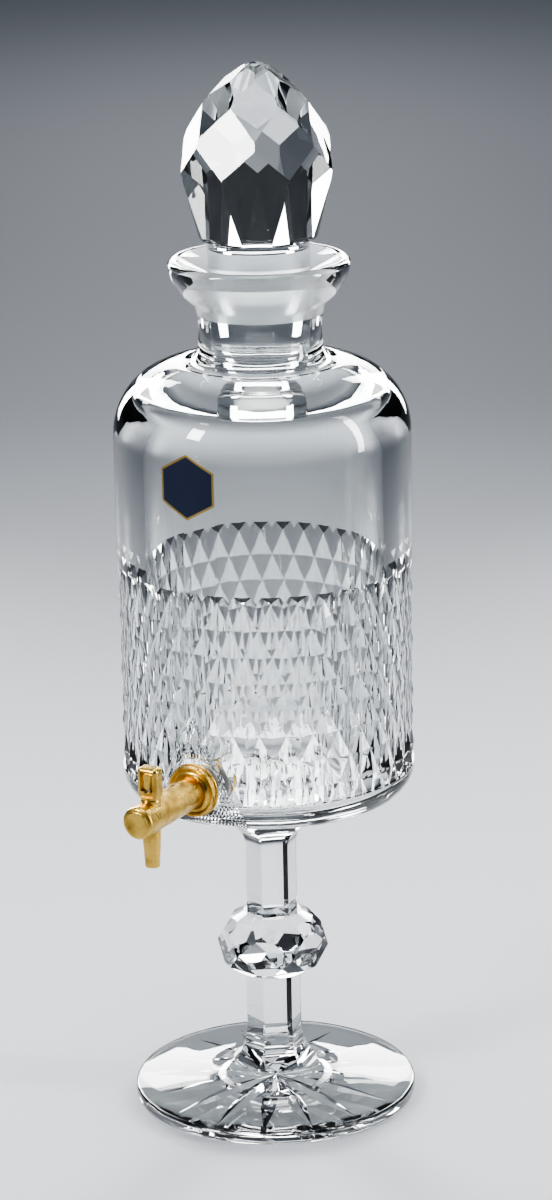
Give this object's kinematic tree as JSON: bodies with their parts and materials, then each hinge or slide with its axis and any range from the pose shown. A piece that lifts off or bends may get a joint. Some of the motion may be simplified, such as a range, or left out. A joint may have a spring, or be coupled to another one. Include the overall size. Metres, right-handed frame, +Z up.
{
  "type": "decanter with spigot",
  "caption": "Footed cut glass decanter with a ground glass stopper and a small gold plated tap near the base.",
  "frame": {"origin": "centre of the foot's underside, on the surface that the decanter stands on", "axes": "+Z up along the decanter's axis, and the tap points along -Y"},
  "size_m": [0.122, 0.1676, 0.4429],
  "materials": {
    "glass": "polished lead crystal, cut and acid polished",
    "stopper_glass": "polished lead crystal, ground at the neck",
    "gold_plate": "gold plated brass, lightly polished",
    "gasket": "moulded silicone rubber",
    "steel": "plain steel pin"
  },
  "bodies": {
    "decanter": {"bowl": "glass", "stem": "glass", "foot": "glass", "tap_barrel": "gold_plate", "backing_ring": "gold_plate", "outer_gasket": "gasket", "inner_gasket": "gasket", "inner_washer": "gold_plate", "lock_nut": "gold_plate", "spout": "gold_plate", "end_cap": "gold_plate", "end_cap_seal": "gasket", "gland_nut": "gold_plate", "gland_o_ring": "gasket"},
    "stopper": {"stopper": "stopper_glass"},
    "key": {"key_plug": "gold_plate", "plug_o_ring": "gasket", "key_handle": "gold_plate", "handle_pin": "steel"}
  },
  "joints": [
    {"name": "stopper_lift", "type": "slide", "parent": "decanter", "child": "stopper", "axis": [0, 0, 1], "range_m": [0, 0.12]},
    {"name": "key_turn", "type": "hinge", "parent": "decanter", "child": "key", "pos_m": [0, -0.0947, 0.1556], "axis": [0, 0, 1], "range_deg": [0, 90]}
  ]
}
